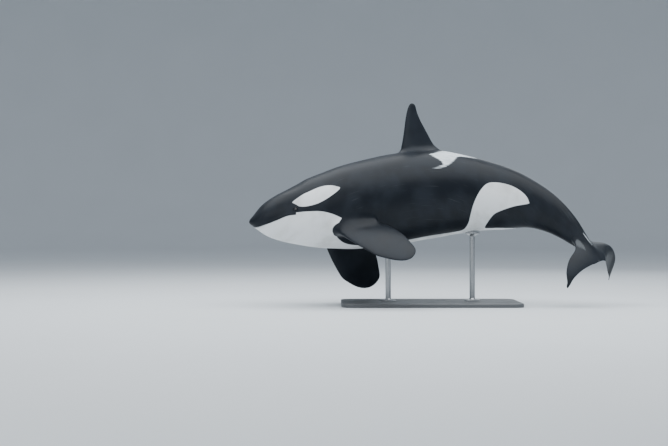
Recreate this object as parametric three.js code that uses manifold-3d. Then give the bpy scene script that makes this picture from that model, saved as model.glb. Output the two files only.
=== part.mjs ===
// A young male orca, life size, arched in a slow glide, on a plain museum stand.
// Millimetres, +Z up. The head points to -X and the left side to -Y. The floor is z = 0.
import * as THREE from "three";
import { mergeVertices } from "three/addons/utils/BufferGeometryUtils.js";
import Module from "manifold-3d";

const wasm = await Module();
wasm.setup();

const DEG = Math.PI / 180;

// Driving dimensions
const LENGTH = 6200; // snout to the notch of the flukes, along the spine
const SNOUT = [-2922, -420, 1346];
const GAP = 0.35; // between touching nodes
const NECK = 0.205; // share of the length where the head ends
const STOCK = 0.66; // where the torso ends and the tail stock begins
const STOCK_END = 0.965; // where the tail stock is lost inside the flukes

// The spine's climb and its turn away from the left side, in degrees, by share of the length.
const PITCH = [[0, 7.5], [0.38, 10], [0.47, 6.3], [0.54, -1], [0.61, -5], [0.68, -10.3], [0.74, -16],
  [0.8, -29], [0.87, -41], [0.93, -43.5], [1, -39]];
const YAW = [[0, 14], [0.25, 12], [0.5, 3], [0.7, -10], [0.85, -26], [1, -37]];
const ROLL = [[0, 0], [0.5, 0], [0.8, 0], [1, 4]];

// Sections of the body: share of the length, height above and depth below the spine, half width.
const SECTIONS = [
  [0, 0, 0, 0], [0.012, 92, 86, 112], [0.045, 268, 265, 242], [0.08, 372, 376, 332],
  [0.116, 455, 458, 405], [0.17, 566, 564, 500], [0.21, 620, 618, 548], [0.26, 681, 680, 592],
  [0.32, 717, 716, 624], [0.4, 738, 738, 636], [0.5, 716, 714, 600], [0.57, 645, 648, 528],
  [0.635, 570, 568, 438], [0.7, 486, 492, 340], [0.77, 359, 360, 232], [0.83, 268, 272, 165],
  [0.88, 200, 196, 124], [0.92, 132, 138, 100], [0.945, 92, 78, 88], [0.965, 66, 30, 72], [1, 20, 10, 50],
];

// The line of the mouth, then the rear edge of the lower jaw: share of the length, height over the spine.
const MOUTH = [[-0.02, -112], [0.0146, -94], [0.0275, -73], [0.042, -52], [0.055, -32], [0.0683, -10],
  [0.08, 12], [0.088, 24], [0.098, 30], [0.1115, 26]];
const JAW_REAR = [[0.121, -10], [0.132, -90], [0.145, -250], [0.154, -430], [0.162, -760]];
const JAW_FLOOR = -1200;
const LIP_RADIUS = 17;
const LIP_SINK = 9;
const GROOVE_RADIUS = 8;

const EYE_AT = 0.1135;
const EYE_HEIGHT = 122;
const EYE_RADIUS = 30;
const LID_RADIUS = 36; // ring of the lids, seen from the side
const LID_THICK = 9;
const LID_SQUEEZE = 0.66; // height of the ring over its width

const BLOWHOLE_AT = 0.126;
const BLOWHOLE_RADIUS = 52;
const BLOWHOLE_SLIT = 8;

// Rows of a fin: share of its span, leading edge, trailing edge, thickness.
const DORSAL = {
  at: 0.463, span: 800,
  rows: [[-0.12, -290, 470, 300], [0, -266, 402, 215], [0.05, -250, 350, 165], [0.12, -230, 303, 135],
    [0.3, -184, 242, 104], [0.5, -142, 178, 84], [0.65, -113, 131, 68], [0.82, -72, 96, 52], [0.94, -30, 82, 36],
    [1, 26, 26, 0]],
};
const FLIPPER = {
  span: 1288,
  rows: [[-0.3, -177, 179, 215], [0, -226, 219, 170], [0.1, -241, 245, 142], [0.25, -284, 321, 116],
    [0.45, -317, 379, 98], [0.65, -330, 360, 82], [0.82, -258, 292, 64], [0.94, -149, 222, 44], [1, 32, 28, 0]],
};
// A flipper's root: share of the length and height over the spine. Then its span and chord, and the bend of its tip.
const LEFT_FLIPPER = { at: 0.234, height: -270, side: 1, out: [0.745, -0.627, -0.227], chord: [0.649, 0.604, 0.463],
  bend: 246 };
const RIGHT_FLIPPER = { at: 0.232, height: -289, side: -1, out: [0.489, 0.42, -0.765], chord: [0.855, -0.059, 0.515],
  bend: 87 };
const FLIPPER_SINK = 60;
// Each lobe of the flukes droops, most at its tip, and the tip curls in and sweeps back.
// A high bend keeps an edge straight until near its tip. On the far lobe the trailing edge droops first.
const FLUKE = {
  at: 0.925, span: 930,
  roll: 10, lift: 3.5, // of the pair, degrees against the tail stock
  rows: [[-0.1, -150, 320, 110], [0, -170, 436, 118], [0.08, -100, 477, 96], [0.25, 50, 418, 70],
    [0.5, 126, 396, 52], [0.72, 238, 406, 40], [0.9, 376, 436, 28], [1, 428, 445, 0]],
  left: { side: 1, droop: 442, leadBend: 1.43, trailBend: 1.43, curl: 276, sweep: 0 },
  right: { side: -1, droop: 638, leadBend: 8, trailBend: 1.42, curl: 52, sweep: 44 },
};
const CURL_BEND = 3;
const SWEEP_BEND = 4;

// Stand
const BASE_LENGTH = 2900;
const BASE_WIDTH = 1500;
const BASE_CORNER = 180;
const BASE_THICK = 60;
const ROD_RADIUS = 45;
const ROD_FLANGE = 130;
const ROD_CUP = 120;
// Turned steps of a rod: radius, then height over its foot, or depth under the belly.
const ROD_FOOT = [[ROD_FLANGE, 0], [ROD_FLANGE, 14], [ROD_FLANGE - 12, 22], [ROD_RADIUS + 14, 26], [ROD_RADIUS, 48]];
const ROD_HEAD = [[ROD_RADIUS, -70], [ROD_RADIUS + 16, -44], [ROD_CUP, -22], [ROD_CUP, 12]];
const ROD_FRONT_AT = 0.375;
const ROD_REAR_AT = 0.6;

// Mesh fineness
const BODY_SIDES = 48;
const ROD_SIDES = 28;
const FIN_SIDES = 22;
const FIN_RINGS = 16;
const FIN_END = 0.998; // share of the span of the last ring

// Powers of the fin section: blunt at the nose, thin behind. FIN_FULLEST is its greatest value.
const FIN_NOSE = 0.5;
const FIN_TAPER = 0.75;
const FIN_FULLEST = 0.431;

// A smooth curve through rows of [x, ..., value], with no overshoot between them.
function curveThrough(rows, column = 1) {
  const xs = rows.map((row) => row[0]);
  const ys = rows.map((row) => row[column]);
  const slopes = xs.slice(1).map((x, i) => (ys[i + 1] - ys[i]) / (x - xs[i]));
  const tangents = ys.map((y, i) => {
    if (i === 0) return slopes[0];
    if (i === ys.length - 1) return slopes[i - 1];
    const [before, after] = [slopes[i - 1], slopes[i]];
    return before * after <= 0 ? 0 : (2 * before * after) / (before + after);
  });
  return (x) => {
    if (x <= xs[0]) return ys[0] + tangents[0] * (x - xs[0]);
    let i = xs.findIndex((end) => x < end) - 1;
    if (i < 0) i = xs.length - 2;
    const step = xs[i + 1] - xs[i];
    const t = (x - xs[i]) / step;
    const rise = t * t * (3 - 2 * t);
    return ys[i] * (1 - rise) + ys[i + 1] * rise
      + step * (t * (1 - t) ** 2 * tangents[i] - t * t * (1 - t) * tangents[i + 1]);
  };
}

// The same, but round at x = 0: the curve runs in the square root of x.
function bluntCurve(rows, column) {
  const curve = curveThrough(rows.map((row) => [Math.sqrt(row[0]), row[column]]));
  return (x) => curve(Math.sqrt(Math.max(x, 0)));
}

const pitchAt = curveThrough(PITCH);
const yawAt = curveThrough(YAW);
const rollAt = curveThrough(ROLL);
const aboveAt = bluntCurve(SECTIONS, 1);
const belowAt = bluntCurve(SECTIONS, 2);
const widthAt = bluntCurve(SECTIONS, 3);

function tailward(f) {
  const [pitch, yaw] = [pitchAt(f) * DEG, yawAt(f) * DEG];
  return new THREE.Vector3(Math.cos(pitch) * Math.cos(yaw), Math.cos(pitch) * Math.sin(yaw), Math.sin(pitch));
}

const SPINE_STEPS = 400;
const spinePoints = [new THREE.Vector3(...SNOUT)];
for (let i = 0; i < SPINE_STEPS; i++) {
  const step = tailward((i + 0.5) / SPINE_STEPS).multiplyScalar(LENGTH / SPINE_STEPS);
  spinePoints.push(spinePoints[i].clone().add(step));
}

// The spine's place at a share of the length, with the directions of the tail, the left side and the back.
function frameAt(f) {
  const along = THREE.MathUtils.clamp(f, 0, 1) * SPINE_STEPS;
  const i = Math.min(Math.floor(along), SPINE_STEPS - 1);
  const place = spinePoints[i].clone().lerp(spinePoints[i + 1], along - i);
  const tail = tailward(THREE.MathUtils.clamp(f, 0, 1));
  place.addScaledVector(tail, (f - THREE.MathUtils.clamp(f, 0, 1)) * LENGTH);
  const level = tail.clone().cross(new THREE.Vector3(0, 0, 1)).normalize();
  const left = level.applyAxisAngle(tail, rollAt(f) * DEG);
  const up = left.clone().cross(tail);
  return { place, tail, left, up };
}

function inBody(f, sideways, height) {
  const { place, left, up } = frameAt(f);
  return place.clone().addScaledVector(left, sideways).addScaledVector(up, height);
}

// How square the sections are: 2 is an ellipse.
const squareAbove = curveThrough([[0, 2], [0.1, 2.15], [0.4, 2.05], [0.75, 1.9], [1, 2]]);
const squareBelow = curveThrough([[0, 2.1], [0.1, 2.1], [0.4, 2.15], [0.75, 1.9], [1, 2]]);

const power = (x, n) => Math.sign(x) * Math.abs(x) ** (2 / n);

// A point of the skin. The angle runs from the back, 0, by the left side to the belly, 180 degrees.
function skinPoint(f, angle, grow = 0) {
  const [s, c] = [Math.sin(angle), Math.cos(angle)];
  const n = c > 0 ? squareAbove(f) : squareBelow(f);
  const height = (c > 0 ? aboveAt(f) : belowAt(f)) + grow;
  return inBody(f, (widthAt(f) + grow) * power(s, n), height * power(c, n));
}

// The half width of the skin at a height over the spine.
function halfWidthAt(f, height) {
  const n = height > 0 ? squareAbove(f) : squareBelow(f);
  const share = Math.min(1, Math.abs(height) / (height > 0 ? aboveAt(f) : belowAt(f)));
  return widthAt(f) * (1 - share ** n) ** (1 / n);
}

// A closed mesh through rings of points. Both ends close on a point of their own.
// Quads are split alike on the two faces of a flat ring.
function loft(rings, first, last) {
  const sides = rings[0].length;
  const points = [first, ...rings.flat(), last];
  const triangles = [];
  const at = (ring, j) => 1 + ring * sides + ((j + sides) % sides);
  for (let j = 0; j < sides; j++) {
    triangles.push(0, at(0, j + 1), at(0, j));
    for (let i = 0; i < rings.length - 1; i++) {
      const [a, b, c, d] = [at(i, j), at(i, j + 1), at(i + 1, j + 1), at(i + 1, j)];
      if (j < sides / 2) triangles.push(a, b, c, a, c, d);
      else triangles.push(a, b, d, b, c, d);
    }
    triangles.push(points.length - 1, at(rings.length - 1, j), at(rings.length - 1, j + 1));
  }
  const geometry = new THREE.BufferGeometry();
  geometry.setAttribute("position", new THREE.Float32BufferAttribute(points.flatMap((p) => p.toArray()), 3));
  geometry.setIndex(triangles);
  return geometry;
}

const middleOf = (ring) =>
  ring.reduce((sum, p) => sum.add(p), new THREE.Vector3()).divideScalar(ring.length);

function solidOf(geometry) {
  const bare = new THREE.BufferGeometry();
  bare.setAttribute("position", geometry.getAttribute("position").clone());
  bare.setIndex(geometry.index);
  const merged = mergeVertices(bare, 1e-3);
  const mesh = new wasm.Mesh({
    numProp: 3,
    vertProperties: merged.attributes.position.array,
    triVerts: new Uint32Array(merged.index.array),
  });
  const solid = new wasm.Manifold(mesh);
  if (solid.volume() > 0) return solid;
  for (let i = 0; i < mesh.triVerts.length; i += 3)
    [mesh.triVerts[i + 1], mesh.triVerts[i + 2]] = [mesh.triVerts[i + 2], mesh.triVerts[i + 1]];
  return new wasm.Manifold(mesh);
}

function geometryOf(solid) {
  const mesh = solid.getMesh();
  const places = new Float32Array(mesh.numVert * 3);
  for (let i = 0; i < mesh.numVert; i++)
    places.set(mesh.vertProperties.subarray(i * mesh.numProp, i * mesh.numProp + 3), i * 3);
  const geometry = new THREE.BufferGeometry();
  geometry.setAttribute("position", new THREE.BufferAttribute(places, 3));
  geometry.setIndex(new THREE.BufferAttribute(mesh.triVerts, 1));
  geometry.computeVertexNormals();
  return geometry;
}

const largestOf = (solid) => solid.decompose().sort((a, b) => b.volume() - a.volume())[0];

const BODY_STATIONS = [0.0015, 0.006, 0.014, 0.025, 0.038, 0.052, 0.067, 0.083, 0.1, 0.118, 0.137, 0.157, 0.18];
for (let f = NECK; f < 0.9; f += 0.0235) BODY_STATIONS.push(f);
for (let f = 0.9; f < STOCK_END; f += 0.013) BODY_STATIONS.push(f);

// The whole body without its fins, from the snout into the flukes.
function bodySolid(grow = 0) {
  const stations = [...BODY_STATIONS, STOCK_END + grow / LENGTH];
  const rings = stations.map((f) =>
    Array.from({ length: BODY_SIDES }, (_, j) => skinPoint(f, (j / BODY_SIDES) * 2 * Math.PI, grow)));
  const nose = inBody(-grow / LENGTH, 0, 0);
  return solidOf(loft(rings, nose, middleOf(rings.at(-1))));
}

// Keeps the part of a solid that lies tailward of the station, or headward with side = -1.
function trimAt(solid, f, side) {
  const { place, tail } = frameAt(f);
  const normal = tail.clone().multiplyScalar(side);
  return solid.trimByPlane(normal.toArray(), place.dot(normal) + GAP / 2);
}

// A tube along points, for grooves and lips.
function tubeSolid(points, radius, sides) {
  const path = new THREE.CatmullRomCurve3(points);
  const circle = new THREE.Shape();
  circle.absarc(0, 0, radius, 0, 2 * Math.PI);
  const options = { steps: points.length * 2, bevelEnabled: false, extrudePath: path, curveSegments: sides };
  return solidOf(new THREE.ExtrudeGeometry(circle, options));
}

// The mouth's line on the skin, round the snout from one corner to the other.
const mouthHeight = curveThrough(MOUTH);
function mouthPath(rise, outset) {
  const corner = MOUTH.at(-1)[0];
  const front = 0.0135;
  const side = [];
  for (let k = 0; k <= 12; k++) {
    const f = front + (corner - front) * (k / 12) ** 1.6;
    side.push([f, Math.max(halfWidthAt(f, mouthHeight(f) + rise) + outset, 0), mouthHeight(f) + rise]);
  }
  const left = side.map(([f, y, z]) => inBody(f, y, z));
  const right = side.map(([f, y, z]) => inBody(f, -y, z));
  return [...right.reverse(), ...left.filter((p) => p.distanceTo(right.at(-1)) > 15)];
}

// Everything below the mouth's line and ahead of the jaw's rear edge, moved a little up and back.
function jawBlock(shift) {
  const reach = 1.3 * widthAt(NECK);
  const rings = [...MOUTH, ...JAW_REAR].map(([f, z]) => {
    const moved = f + shift / LENGTH;
    return [[reach, z + shift], [-reach, z + shift], [-reach, JAW_FLOOR], [reach, JAW_FLOOR]]
      .map(([y, height]) => inBody(moved, y, height));
  });
  return solidOf(loft(rings, middleOf(rings[0]), middleOf(rings.at(-1))));
}

// Where the eye sits, and a frame turned with the skin there.
function eyeFrame(side) {
  const { tail, left } = frameAt(EYE_AT);
  const half = halfWidthAt(EYE_AT, EYE_HEIGHT);
  const place = inBody(EYE_AT, side * half, EYE_HEIGHT);
  const ahead = inBody(EYE_AT - 0.01, side * halfWidthAt(EYE_AT - 0.01, EYE_HEIGHT), EYE_HEIGHT);
  const above = inBody(EYE_AT, side * halfWidthAt(EYE_AT, EYE_HEIGHT + 60), EYE_HEIGHT + 60);
  const forward = ahead.sub(place).normalize();
  const out = forward.clone().cross(above.sub(place)).normalize();
  if (out.dot(left) * side < 0) out.negate();
  const over = out.clone().cross(forward).multiplyScalar(Math.sign(tail.dot(forward)) * -side);
  return new THREE.Matrix4().makeBasis(forward, over, out).setPosition(place);
}

function eyeball(side, radius) {
  const sphere = new THREE.SphereGeometry(radius, 16, 10);
  sphere.translate(0, 0, -0.55 * EYE_RADIUS);
  return solidOf(sphere.applyMatrix4(eyeFrame(side)));
}

function lids(side) {
  const ring = new THREE.TorusGeometry(LID_RADIUS, LID_THICK, 8, 24);
  ring.scale(1, LID_SQUEEZE, 1.1);
  ring.rotateZ(8 * DEG);
  return solidOf(ring.applyMatrix4(eyeFrame(side)));
}

function blowholeSlit() {
  const points = [];
  for (let angle = -80; angle <= 80; angle += 20) {
    const f = BLOWHOLE_AT + (BLOWHOLE_RADIUS * (Math.cos(angle * DEG) - 0.6)) / LENGTH;
    const sideways = BLOWHOLE_RADIUS * Math.sin(angle * DEG);
    const n = squareAbove(f);
    const height = aboveAt(f) * (1 - Math.abs(sideways / widthAt(f)) ** n) ** (1 / n);
    points.push(inBody(f, sideways, height));
  }
  return tubeSolid(points, BLOWHOLE_SLIT, 3);
}

// A fin from its rows. The placing function turns a place along the chord, a share of the span, a thickness and
// the share of the chord behind the leading edge into a point.
// The edges run in the square root of what is left of the span, which rounds the tip.
function finSolid(rows, from, place) {
  const [lead, trail, thick] = [1, 2, 3].map((column) => {
    const curve = curveThrough(rows.map((row) => [Math.sqrt(1 - row[0]), row[column]]).reverse());
    return (v) => curve(Math.sqrt(1 - v));
  });
  const half = FIN_SIDES / 2;
  const rings = Array.from({ length: FIN_RINGS + 1 }, (_, k) => {
    const v = from + (FIN_END - from) * Math.sin(((k / FIN_RINGS) * Math.PI) / 2);
    return Array.from({ length: FIN_SIDES }, (_, j) => {
      const across = j <= half ? j / half : (FIN_SIDES - j) / half;
      const c = (1 - Math.cos(Math.PI * across)) / 2;
      const profile = (c ** FIN_NOSE * (1 - c) ** FIN_TAPER) / FIN_FULLEST;
      const face = j < half ? 1 : -1;
      return place(lead(v) + (trail(v) - lead(v)) * c, v, (face * profile * thick(v)) / 2, c);
    });
  });
  return solidOf(loft(rings, middleOf(rings[0]), middleOf(rings.at(-1))));
}

function dorsalFin() {
  const { up, left, tail } = frameAt(DORSAL.at);
  const root = inBody(DORSAL.at, 0, aboveAt(DORSAL.at) - 12);
  const place = (chord, v, thick) => root.clone()
    .addScaledVector(tail, chord)
    .addScaledVector(up, v * DORSAL.span)
    .addScaledVector(left, thick);
  return finSolid(DORSAL.rows, -0.12, place);
}

function flipper({ at, height, side, out, chord, bend }) {
  const root = inBody(at, side * (halfWidthAt(at, height) - FLIPPER_SINK), height);
  const along = new THREE.Vector3(...out).normalize();
  const across = new THREE.Vector3(...chord).projectOnPlane(along).normalize();
  const face = along.clone().cross(across);
  if (face.z < 0) face.negate();
  const place = (x, v, thick) => root.clone()
    .addScaledVector(across, x)
    .addScaledVector(along, v * FLIPPER.span)
    .addScaledVector(face, thick - bend * v * v);
  return finSolid(FLIPPER.rows, -0.2, place);
}

function flukeFrame() {
  const { place, tail, left, up } = frameAt(FLUKE.at);
  for (const [axis, angle] of [[tail.clone(), FLUKE.roll], [left.clone(), FLUKE.lift]])
    for (const direction of [tail, left, up]) direction.applyAxisAngle(axis, angle * DEG);
  return { place, tail, left, up };
}

function flukeLobe({ side, droop, leadBend, trailBend, curl, sweep }) {
  const { place: root, up, left, tail } = flukeFrame();
  const place = (chord, v, thick, c) => {
    const reach = Math.max(v, 0);
    const bend = leadBend + (trailBend - leadBend) * c;
    return root.clone()
      .addScaledVector(tail, chord + sweep * reach ** SWEEP_BEND)
      .addScaledVector(left, side * (v * FLUKE.span - curl * reach ** CURL_BEND))
      .addScaledVector(up, thick - droop * reach ** bend);
  };
  return finSolid(FLUKE.rows, -0.06, place);
}

// Cuts a fin off where it meets the skin, and keeps what stands outside.
const outside = (fin, skin) => largestOf(fin.subtract(skin));

function standBase() {
  const [x, y, r] = [BASE_LENGTH / 2, BASE_WIDTH / 2, BASE_CORNER];
  const plan = new THREE.Shape();
  plan.absarc(x - r, y - r, r, 0, 90 * DEG);
  plan.absarc(-x + r, y - r, r, 90 * DEG, 180 * DEG);
  plan.absarc(-x + r, -y + r, r, 180 * DEG, 270 * DEG);
  plan.absarc(x - r, -y + r, r, 270 * DEG, 360 * DEG);
  const bevel = { bevelSize: 8, bevelThickness: 8, bevelSegments: 1, bevelOffset: -8, curveSegments: 6 };
  const plate = new THREE.ExtrudeGeometry(plan, { depth: BASE_THICK - 16, ...bevel });
  return solidOf(plate.translate(0, 0, 8));
}

// A rod with a flange on the base and a cup that is cut to the belly.
function standRod(at, skin) {
  const { place } = frameAt(at);
  const belly = place.z - belowAt(at);
  const foot = BASE_THICK + GAP;
  const steps = [...ROD_FOOT.map(([r, z]) => [r, foot + z]), ...ROD_HEAD.map(([r, z]) => [r, belly + z])];
  const profile = [[0, foot], ...steps, [0, steps.at(-1)[1]]];
  const lathe = new THREE.LatheGeometry(profile.map(([r, z]) => new THREE.Vector2(r, z)), ROD_SIDES);
  lathe.rotateX(90 * DEG).translate(place.x, place.y, 0);
  return largestOf(solidOf(lathe).subtract(skin));
}

const skin = bodySolid();
const clearSkin = bodySolid(GAP);
const headPiece = trimAt(skin, NECK, -1);
const groove = tubeSolid(mouthPath(0, 2), GROOVE_RADIUS, 2);
const upperLip = tubeSolid(mouthPath(LIP_SINK + 6, -LIP_SINK), LIP_RADIUS, 3);
const lowerLip = tubeSolid(mouthPath(-LIP_SINK - 6, -LIP_SINK), LIP_RADIUS, 3);

const black = { color: 0x0d1014, roughness: 0.32, metalness: 0 };
const white = { color: 0xe9ecee, roughness: 0.35, metalness: 0 };
const eyeBrown = { color: 0x160c08, roughness: 0.08, metalness: 0 };
const steel = { color: 0x6e7276, roughness: 0.45, metalness: 0.9 };
const plinth = { color: 0x3c3f43, roughness: 0.6, metalness: 0.1 };

const orca = new THREE.Group();
function add(name, solid, finish) {
  const mesh = new THREE.Mesh(geometryOf(solid), new THREE.MeshStandardMaterial(finish));
  mesh.name = name;
  orca.add(mesh);
}

let skull = headPiece.subtract(jawBlock(GAP)).add(upperLip.subtract(jawBlock(GAP))).subtract(groove);
for (const side of [1, -1]) skull = skull.add(lids(side)).subtract(eyeball(side, EYE_RADIUS + GAP));
skull = skull.subtract(blowholeSlit());
add("head", largestOf(skull), black);
const jaw = headPiece.add(lowerLip).intersect(jawBlock(-GAP)).subtract(groove);
add("lower_jaw", largestOf(jaw), white);
add("eye_left", largestOf(eyeball(1, EYE_RADIUS)), eyeBrown);
add("eye_right", largestOf(eyeball(-1, EYE_RADIUS)), eyeBrown);
add("torso", trimAt(trimAt(skin, NECK, 1), STOCK, -1), black);
add("tail_stock", trimAt(skin, STOCK, 1), black);
add("dorsal_fin", outside(dorsalFin(), clearSkin), black);
add("flipper_left", outside(flipper(LEFT_FLIPPER), clearSkin), black);
add("flipper_right", outside(flipper(RIGHT_FLIPPER), clearSkin), black);

const { place: flukeRoot, left: flukeLeft } = flukeFrame();
for (const [name, lobeShape] of [["fluke_left", FLUKE.left], ["fluke_right", FLUKE.right]]) {
  const across = flukeLeft.clone().multiplyScalar(lobeShape.side);
  const lobe = flukeLobe(lobeShape).subtract(clearSkin);
  const half = lobe.trimByPlane(across.toArray(), flukeRoot.dot(across) + GAP / 2);
  add(name, largestOf(half), black);
}

add("stand_base", standBase(), plinth);
add("stand_rod_front", standRod(ROD_FRONT_AT, clearSkin), steel);
add("stand_rod_rear", standRod(ROD_REAR_AT, clearSkin), steel);

export default orca;
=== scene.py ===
# %% [markdown]
# A young male orca at life size, arched in a slow glide, on a plain display stand.
# The solids of the part come first, as a fixed frame in metres. Everything here is built around them.
# The head points to -X, the left side to -Y, and the floor is at z = 0.

# %% Load the solids
import math

import bpy
import numpy as np
from mathutils import Matrix, Vector
from mathutils.kdtree import KDTree


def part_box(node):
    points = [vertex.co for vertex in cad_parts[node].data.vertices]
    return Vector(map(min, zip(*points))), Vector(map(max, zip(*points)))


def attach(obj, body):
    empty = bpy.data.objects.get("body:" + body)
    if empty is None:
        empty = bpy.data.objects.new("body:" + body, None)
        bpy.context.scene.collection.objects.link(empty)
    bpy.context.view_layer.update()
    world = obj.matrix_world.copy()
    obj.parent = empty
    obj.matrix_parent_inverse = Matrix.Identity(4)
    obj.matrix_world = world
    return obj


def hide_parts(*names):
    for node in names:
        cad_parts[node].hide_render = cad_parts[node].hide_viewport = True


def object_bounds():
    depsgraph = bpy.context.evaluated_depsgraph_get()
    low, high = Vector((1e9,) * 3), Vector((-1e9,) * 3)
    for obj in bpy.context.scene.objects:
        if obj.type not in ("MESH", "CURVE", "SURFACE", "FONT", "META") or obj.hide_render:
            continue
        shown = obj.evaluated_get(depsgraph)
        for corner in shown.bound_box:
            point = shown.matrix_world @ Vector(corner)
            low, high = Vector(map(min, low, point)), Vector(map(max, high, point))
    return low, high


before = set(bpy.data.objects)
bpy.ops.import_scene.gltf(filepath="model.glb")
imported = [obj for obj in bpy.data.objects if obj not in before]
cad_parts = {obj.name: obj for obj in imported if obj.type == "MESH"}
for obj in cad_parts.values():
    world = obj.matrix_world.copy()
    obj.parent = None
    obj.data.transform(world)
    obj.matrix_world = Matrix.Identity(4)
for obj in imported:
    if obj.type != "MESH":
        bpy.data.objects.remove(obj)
solid_low, solid_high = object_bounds()
print("solids reach from", tuple(solid_low), "to", tuple(solid_high))

# %% [markdown]
# The camera stands well back with a long lens, level with the animal, as a diver sees it from its left.
# A long lens keeps the near flipper and the far one close to their true sizes.

# %% Place the camera
CAMERA_PLACE = (-1.565, -21.19, 1.337)
FOCAL_PIXELS = 1300.0
PHOTO_WIDTH = 668.0

camera_data = bpy.data.cameras.new("camera")
camera_data.sensor_width = 36.0
camera_data.lens = FOCAL_PIXELS / PHOTO_WIDTH * camera_data.sensor_width
camera_data.clip_end = 200.0
camera = bpy.data.objects.new("camera", camera_data)
camera.location = CAMERA_PLACE
camera.rotation_euler = (math.radians(90), 0, 0)
bpy.context.scene.collection.objects.link(camera)
bpy.context.scene.camera = camera
print("lens", round(camera_data.lens, 1), "mm")

# %% [markdown]
# A whale has no edges to trace, so its body is described by a spine and by sections across it.
# The spine climbs and turns by a few angles along its length. Each section says how far the back is
# above the spine, how far the belly is below it, and half the width there, in millimetres.
# The same few rows shape the solids, so the skin lies exactly over them.

# %% Describe the body
LENGTH = 6.2
SNOUT = np.array([-2.922, -0.420, 1.346])
PITCH = [[0, 7.5], [0.38, 10], [0.47, 6.3], [0.54, -1], [0.61, -5], [0.68, -10.3], [0.74, -16],
         [0.8, -29], [0.87, -41], [0.93, -43.5], [1, -39]]
YAW = [[0, 14], [0.25, 12], [0.5, 3], [0.7, -10], [0.85, -26], [1, -37]]
ROLL = [[0, 0], [0.5, 0], [0.8, 0], [1, 4]]
SECTIONS = [
    [0, 0, 0, 0], [0.012, 92, 86, 112], [0.045, 268, 265, 242], [0.08, 372, 376, 332],
    [0.116, 455, 458, 405], [0.17, 566, 564, 500], [0.21, 620, 618, 548], [0.26, 681, 680, 592],
    [0.32, 717, 716, 624], [0.4, 738, 738, 636], [0.5, 716, 714, 600], [0.57, 645, 648, 528],
    [0.635, 570, 568, 438], [0.7, 486, 492, 340], [0.77, 359, 360, 232], [0.83, 268, 272, 165],
    [0.88, 200, 196, 124], [0.92, 132, 138, 100], [0.945, 92, 78, 88], [0.965, 66, 30, 72], [1, 20, 10, 50],
]
STOCK_END = 0.965


def curve_through(rows, column=1, scale=1.0, blunt=False):
    """A smooth curve through rows, with no overshoot. A blunt one is round where x is 0."""
    xs = np.array([row[0] for row in rows], float)
    ys = np.array([row[column] for row in rows], float) * scale
    if blunt:
        xs = np.sqrt(xs)
    steps = np.diff(xs)
    slopes = np.diff(ys) / steps
    before, after = slopes[:-1], slopes[1:]
    same_way = before * after > 0
    mean = 2 * before * after / np.where(same_way, before + after, 1)
    tangents = np.concatenate([slopes[:1], np.where(same_way, mean, 0), slopes[-1:]])

    def value(x):
        x = np.asarray(x, float)
        x = np.sqrt(np.maximum(x, 0)) if blunt else x
        i = np.clip(np.searchsorted(xs, x, side="right") - 1, 0, len(xs) - 2)
        t = (x - xs[i]) / steps[i]
        rise = t * t * (3 - 2 * t)
        bend = t * (1 - t) ** 2 * tangents[i] - t * t * (1 - t) * tangents[i + 1]
        inside = ys[i] * (1 - rise) + ys[i + 1] * rise + steps[i] * bend
        return np.where(x <= xs[0], ys[0] + tangents[0] * (x - xs[0]), inside)

    return value


pitch_at = curve_through(PITCH)
yaw_at = curve_through(YAW)
roll_at = curve_through(ROLL)
above_at = curve_through(SECTIONS, 1, 0.001, blunt=True)
below_at = curve_through(SECTIONS, 2, 0.001, blunt=True)
width_at = curve_through(SECTIONS, 3, 0.001, blunt=True)
square_above = curve_through([[0, 2], [0.1, 2.15], [0.4, 2.05], [0.75, 1.9], [1, 2]])
square_below = curve_through([[0, 2.1], [0.1, 2.1], [0.4, 2.15], [0.75, 1.9], [1, 2]])

# %% [markdown]
# Short steps along the spine, each in the direction that the angles give, add up to its whole line.
# At any point of it, three directions at right angles say where the tail, the left side and the back are.

# %% Run the spine
SPINE_STEPS = 400


def tailward(f):
    pitch = np.radians(pitch_at(f))
    yaw = np.radians(yaw_at(f))
    level = np.cos(pitch)
    return np.stack([level * np.cos(yaw), level * np.sin(yaw), np.sin(pitch)], -1)


middles = (np.arange(SPINE_STEPS) + 0.5) / SPINE_STEPS
spine = np.vstack([SNOUT, SNOUT + np.cumsum(tailward(middles) * LENGTH / SPINE_STEPS, axis=0)])


def spine_frame(f):
    """Place on the spine, and the directions of the tail, the left side and the back."""
    f = np.atleast_1d(np.asarray(f, float))
    kept = np.clip(f, 0, 1)
    i = np.minimum((kept * SPINE_STEPS).astype(int), SPINE_STEPS - 1)
    share = (kept * SPINE_STEPS - i)[:, None]
    tail = tailward(kept)
    place = spine[i] * (1 - share) + spine[i + 1] * share + tail * ((f - kept) * LENGTH)[:, None]
    level = np.cross(tail, [0.0, 0.0, 1.0])
    level /= np.linalg.norm(level, axis=1, keepdims=True)
    roll = np.radians(roll_at(f))[:, None]
    left = level * np.cos(roll) + np.cross(tail, level) * np.sin(roll)
    return place, tail, left, np.cross(left, tail)


def in_body(f, sideways, height):
    place, _, left, up = spine_frame(f)
    return place + left * np.atleast_1d(sideways)[:, None] + up * np.atleast_1d(height)[:, None]


def half_width(f, height):
    """How far the skin is from the middle at a height over the spine."""
    height = np.asarray(height, float)
    n = np.where(height > 0, square_above(f), square_below(f))
    share = np.abs(height) / np.where(height > 0, above_at(f), below_at(f))
    return width_at(f) * (1 - np.minimum(share, 1) ** n) ** (1 / n)


print("notch of the flukes near", spine[-1].round(2))

# %% [markdown]
# Every piece of flesh is a stack of rings, closed by one point at each end. Meshes made like this are
# watertight, and watertight meshes can be joined and cut with booleans, which never tear.

# %% Loft rings into a mesh


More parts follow.
